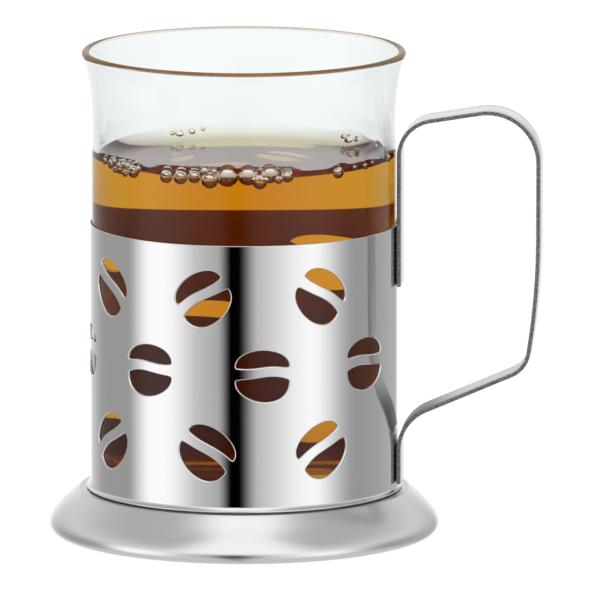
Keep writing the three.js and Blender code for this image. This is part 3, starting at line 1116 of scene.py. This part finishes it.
class CUP_OT_handle(Operator):
    """Make the bent strap handle"""

    bl_idname = "cup.make_handle"
    bl_label = "Make handle"

    def execute(self, context):
        cup = context.scene.tea_cup
        strap = cup.strap
        width = STRAP_HIGH.y - STRAP_LOW.y
        corners = strap_corners(strap)
        line = bpy.data.meshes.new("strap_line")
        line.from_pydata(
            [(x, 0, z) for x, z, _ in corners], [(i, i + 1) for i in range(len(corners) - 1)], [])
        bends = line.attributes.new("bend", "FLOAT", "POINT")
        bends.data.foreach_set("value", [bend for _, _, bend in corners])

        def cut_edge(place):
            _, y, _ = place.parts()
            return abs(y) > width / 2 - strap.edge * CUT_EDGE

        # Painted shade on the faces inside the loop, fullest near the legs where the strap meets the
        # sleeve; these faces are also rougher
        def dull_inside(board, place):
            x, _, z = place.parts()
            across, _, upward = board.node("ShaderNodeNewGeometry", output="Normal").parts()
            heart_x = (STRAP_LOW.x + STRAP_HIGH.x) / 2
            heart_z = (STRAP_LOW.z + STRAP_HIGH.z) / 2
            inward = across * (heart_x - x) + upward * (heart_z - z) > 0.0
            leg_outside = across > 0.5
            near_leg = 1.0 - x.fade(STRAP_LOW.x + LEG_NEAR, STRAP_LOW.x + LEG_FAR)
            return inward * (1.0 - leg_outside) * (INSIDE_DULLING + near_leg * (1.0 - INSIDE_DULLING))

        material = satin_steel(
            "satin_steel_drawn", cup.finish, long_grain, STRAP_DULLNESS, cut_edge, dull_inside)
        mesh = grown("strap", line, strap_tree(material), {**labelled(strap), "Width": width})
        smoothed(mesh, 25)
        piece(mesh, "holder", node="handle_strap")
        return {"FINISHED"}


# Tea

BENT_DEPTH = 5 * MM  # how far below the tea's level its own face bends the light
FACE_IN_WALL = 0.3   # how far into the overlap the tea's own face reaches, as a share
FILM_SCALE = 0.985   # size of a bubble's film, as a share of its room in the tea


def tea_outline(glass, tea):
    """Fills the glass to the level, with rings that lie close together at its edge."""
    foot = GLASS_LOW.z + glass.floor - tea.overlap
    radius = bore(glass) + tea.overlap
    corner = glass.inner_corner + tea.overlap
    surface = []
    for i in range(SURFACE_STEPS + 1):
        gap = radius * (i / SURFACE_STEPS) ** 2
        surface.append((radius - gap, tea.level))
    return [(0, foot), *arc(radius - corner, foot + corner, corner, -90, 0), *surface]


def raise_edge(mesh, cup):
    """Lets the tea's surface climb the glass."""
    radius = bore(cup.glass) + cup.tea.overlap
    for vertex in mesh.vertices:
        if vertex.co.z > cup.tea.level - WELD:
            gap = radius - math.hypot(vertex.co.x, vertex.co.y)
            if gap < cup.tea.reach:
                vertex.co.z = tea_height(vertex.co, gap, cup)


def bubble_points(cup):
    """A point for each bubble, that carries its size."""
    wall = bore(cup.glass)
    points, sizes = [], []
    for turn, size, height in BUBBLES:
        way = cup.stage.azimuth - math.pi / 2 + math.radians(turn)
        out = wall - size * MM
        points.append((out * math.cos(way), out * math.sin(way), cup.tea.level + height * MM))
        sizes.append(size * MM)
    base = bpy.data.meshes.new("bubble_points")
    base.from_pydata(points, [], [])
    base.attributes.new("size", "FLOAT", "POINT").data.foreach_set("value", sizes)
    return base


def bubble_tree(scale, material=None):
    """Puts a round bubble of its own size, times a scale, on each point."""
    board = ShapeBoard("bubbles")
    size = board.named("size") * scale
    ball = board.node("GeometryNodeMeshUVSphere", None, {
        "Segments": BUBBLE_STEPS, "Rings": BUBBLE_STEPS // 2, "Radius": 1.0})
    put = board.node("GeometryNodeInstanceOnPoints", None, {
        "Points": board.given["Mesh"], "Instance": ball, "Scale": board.vector(size, size, size)})
    board.result(put, material)
    return board.tree


def hollowed_tree(balls, material):
    """Takes the room of the bubbles out of the tea."""
    board = ShapeBoard("hollowed_tea")
    room = board.node(
        "GeometryNodeObjectInfo", {"transform_space": "RELATIVE"}, {"Object": balls}, output="Geometry")
    board.result(board.without(board.given["Mesh"], room, crossing=True), material)
    return board.tree


class CUP_OT_tea(Operator):
    """Fill the glass with tea, and leave room for the bubbles at its edge"""

    bl_idname = "cup.pour_tea"
    bl_label = "Pour tea"

    def execute(self, context):
        cup = context.scene.tea_cup
        tea = cup.tea
        filling = turned("filling", tea_outline(cup.glass, tea), 2 * ROUND_STEPS)
        raise_edge(filling, cup)
        room = grown("bubble_room", bubble_points(cup), bubble_tree(1.0))
        balls = bpy.data.objects.new("bubble_room", room)
        face_edge = bore(cup.glass) + FACE_IN_WALL * tea.overlap
        material = brewed_tea(cup.finish, face_edge, tea.level - BENT_DEPTH)
        mesh = grown("tea", filling, hollowed_tree(balls, material))
        bpy.data.objects.remove(balls)
        bpy.data.meshes.remove(room)
        piece(smoothed(mesh, 50), "glass", material)
        return {"FINISHED"}


class CUP_OT_bubbles(Operator):
    """Set the films of the bubbles along the edge of the tea"""

    bl_idname = "cup.add_bubbles"
    bl_label = "Add bubbles"

    def execute(self, context):
        cup = context.scene.tea_cup
        film = bubble_film(bore(cup.glass), cup.tea)
        mesh = grown("tea_bubbles", bubble_points(cup), bubble_tree(FILM_SCALE, film))
        mesh.shade_smooth()
        piece(mesh, "glass")
        return {"FINISHED"}


# Stage

SENSOR = 36             # width of the camera's sensor in millimetres
FLOOR_HALF = 4.0        # metres from the middle of the floor to its sides
FLOOR_DROP = 0.05 * MM  # from the cup's foot down to the floor
FLOOR_TONE = 0.25       # how much of the light the floor throws back
FLOOR_GLOW = 0.86       # light of its own, that keeps it white
FLOOR_COOL = (0.955, 0.99, 1.0)  # tone of that light seen through the glass

# How much darker it is seen through the glass: everywhere, near the cup as a painted shadow, and to
# its sides as a painted falloff of light; and the metres from the axis between which these fade out or
# in
DIM_ALL, DIM_NEAR, DIM_ASIDE = 0.08, 0.46, 0.18
NEAR_CUP = (0.05, 0.3)
ASIDE_CUP = (0.15, 0.4)


def studio_world(stage):
    """A white tent: soft boxes at the sides, a light above the camera with a dark gap under it,
    and a bright backdrop.

    Places are in degrees, round the cup from the camera and up from level.
    """
    world = bpy.data.worlds.new("studio")
    world.use_nodes = True
    board = Board(world.node_tree)
    way = board.node("ShaderNodeTexCoord", output="Generated")
    way = board.node("ShaderNodeMapping", {"vector_type": "POINT"}, {
        "Vector": way, "Rotation": (0.0, 0.0, -stage.azimuth)})
    x, y, z = way.parts()
    around = x.math("ARCTAN2", x, -y) * math.degrees(1)
    up = z.math("ARCSINE", z) * math.degrees(1)

    def panel(start, full, fall, end):
        return around.fade(start, full) * (1.0 - around.fade(fall, end))

    room = 0.38 + panel(-39, -24, 52, 74) * 0.12 + panel(95, 150, 190, 200) * 0.11
    left = panel(-98, -73, -64, -18) * 0.82 + panel(-190, -175, -165, -126) * 0.34
    right = panel(-5, 54, 53, 92) * 0.67
    gap = panel(-20.6, -9.4, -3.8, 11.5) * (1.0 - up.fade(6, 18))
    low = (room + left + right) * (1.0 - gap)
    front = panel(-56, -26, 24, 54)
    sky = 0.74 - up.fade(18, 48) * 0.24 + up.fade(66, 86) * 0.82
    high = sky * (1.0 - front) + front * 1.1
    high_share = up.fade(-2, 24)
    level = low * (1.0 - high_share) + high * high_share
    backdrop = abs(around).fade(155, 170) * (1.0 - up.fade(14, 30))
    level = level * (1.0 - backdrop) + backdrop * (1.1 - up.fade(-8, 2) * 0.14)
    ground = 1.0 - up.fade(-45, -20)
    level = level * (1.0 - ground) + ground * (0.66 - panel(-13, -8, -5, 3) * 0.55)
    camera = board.node("ShaderNodeLightPath", output="Is Camera Ray")
    level = level * (1.0 - camera) + camera
    background = world.node_tree.nodes["Background"]
    board.tree.links.new(level.socket, background.inputs["Color"])
    return world


def white_floor(stage):
    """A white table that keeps the cup's shadow, and that polished metal sees past.

    Seen through the glass it has a painted shadow close to the cup and a painted falloff of light far
    to its sides.
    """
    material, board, shader = new_material("white_floor")
    board.tree.nodes.remove(shader)
    x, y, _ = own_place(board).parts()
    near = 1.0 - flat_length(x, y).fade(*NEAR_CUP)
    sideways = x * math.cos(stage.azimuth) + y * math.sin(stage.azimuth)
    aside = abs(sideways).fade(*ASIDE_CUP)
    light = board.node("ShaderNodeLightPath")
    direct = light.out("Is Camera Ray")
    # Seen through the glass: a painted shadow near the cup and a painted falloff of light to its sides
    dimmed = (near * DIM_NEAR + aside * DIM_ASIDE + DIM_ALL) * (1.0 - direct)
    strength = FLOOR_GLOW * (1.0 - dimmed)
    tone = board.blend(direct, opaque(FLOOR_COOL), WHITE)
    matt = board.node("ShaderNodeBsdfDiffuse", None, {"Color": opaque([FLOOR_TONE] * 3)})
    glow = board.node("ShaderNodeEmission", None, {"Color": tone, "Strength": strength})
    seen = board.node("ShaderNodeAddShader", None, {0: matt, 1: glow})
    past = board.node("ShaderNodeBsdfTransparent")
    mirrored = light.out("Is Glossy Ray") * (1.0 - light.out("Is Transmission Ray"))
    show(board, board.mix(mirrored, seen, past))
    return material


class CUP_OT_stage(Operator):
    """Set the table, the studio light and the camera"""

    bl_idname = "cup.set_stage"
    bl_label = "Set stage"

    def execute(self, context):
        scene = context.scene
        stage = scene.tea_cup.stage
        scene.view_settings.view_transform = "Standard"
        scene.cycles.max_bounces = 32
        scene.cycles.glossy_bounces = 24
        scene.cycles.transmission_bounces = 24
        scene.cycles.transparent_max_bounces = 64
        scene.world = studio_world(stage)

        mesh = bpy.data.meshes.new("floor")
        ends = ((-1, -1), (1, -1), (1, 1), (-1, 1))
        corners = [(x * FLOOR_HALF, y * FLOOR_HALF, -FLOOR_DROP) for x, y in ends]
        mesh.from_pydata(corners, [], [(0, 1, 2, 3)])
        mesh.materials.append(white_floor(stage))
        floor = bpy.data.objects.new("floor", mesh)
        scene.collection.objects.link(floor)

        turn, tilt = stage.azimuth, stage.elevation
        back = Vector((
            math.sin(turn) * math.cos(tilt), -math.cos(turn) * math.cos(tilt), math.sin(tilt)))
        right = Vector((math.cos(turn), math.sin(turn), 0))
        target = right * stage.side + Vector((0, 0, stage.aim))
        data = bpy.data.cameras.new("camera")
        data.lens = stage.lens
        data.sensor_width = SENSOR
        camera = bpy.data.objects.new("camera", data)
        camera.location = target + back * stage.distance
        camera.rotation_euler = (math.pi / 2 - tilt, 0, turn)
        scene.collection.objects.link(camera)
        scene.camera = camera
        return {"FINISHED"}


# Add-on

MAKERS = (
    CUP_OT_glass, CUP_OT_sleeve, CUP_OT_base, CUP_OT_handle, CUP_OT_tea, CUP_OT_bubbles,
    CUP_OT_stage)
GROUPS = (GlassSizes, SleeveSizes, BeanSizes, BaseSizes, StrapSizes, TeaSizes, Finishes, StageSettings)


class CUP_PT_sidebar(Panel):
    """Lists the cup's pieces and sizes"""

    bl_idname = "CUP_PT_sidebar"
    bl_label = "Glass tea cup"
    bl_space_type = "VIEW_3D"
    bl_region_type = "UI"
    bl_category = "Tea cup"

    def draw(self, context):
        cup = context.scene.tea_cup
        for maker in MAKERS:
            self.layout.operator(maker.bl_idname)
        for name in CupSettings.__annotations__:
            box = self.layout.box()
            box.label(text=name.capitalize())
            group = getattr(cup, name)
            for setting in group.__annotations__:
                box.prop(group, setting)


CLASSES = (*GROUPS, CupSettings, *MAKERS, CUP_PT_sidebar)


def register():
    for each in CLASSES:
        bpy.utils.register_class(each)
    bpy.types.Scene.tea_cup = PointerProperty(type=CupSettings)


def unregister():
    del bpy.types.Scene.tea_cup
    for each in reversed(CLASSES):
        bpy.utils.unregister_class(each)


def main():
    register()
    bpy.ops.cup.set_stage()
    bpy.ops.cup.make_glass()
    bpy.ops.cup.make_sleeve()
    bpy.ops.cup.make_base()
    bpy.ops.cup.make_handle()
    bpy.ops.cup.pour_tea()
    bpy.ops.cup.add_bubbles()


if __name__ == "__main__":
    main()
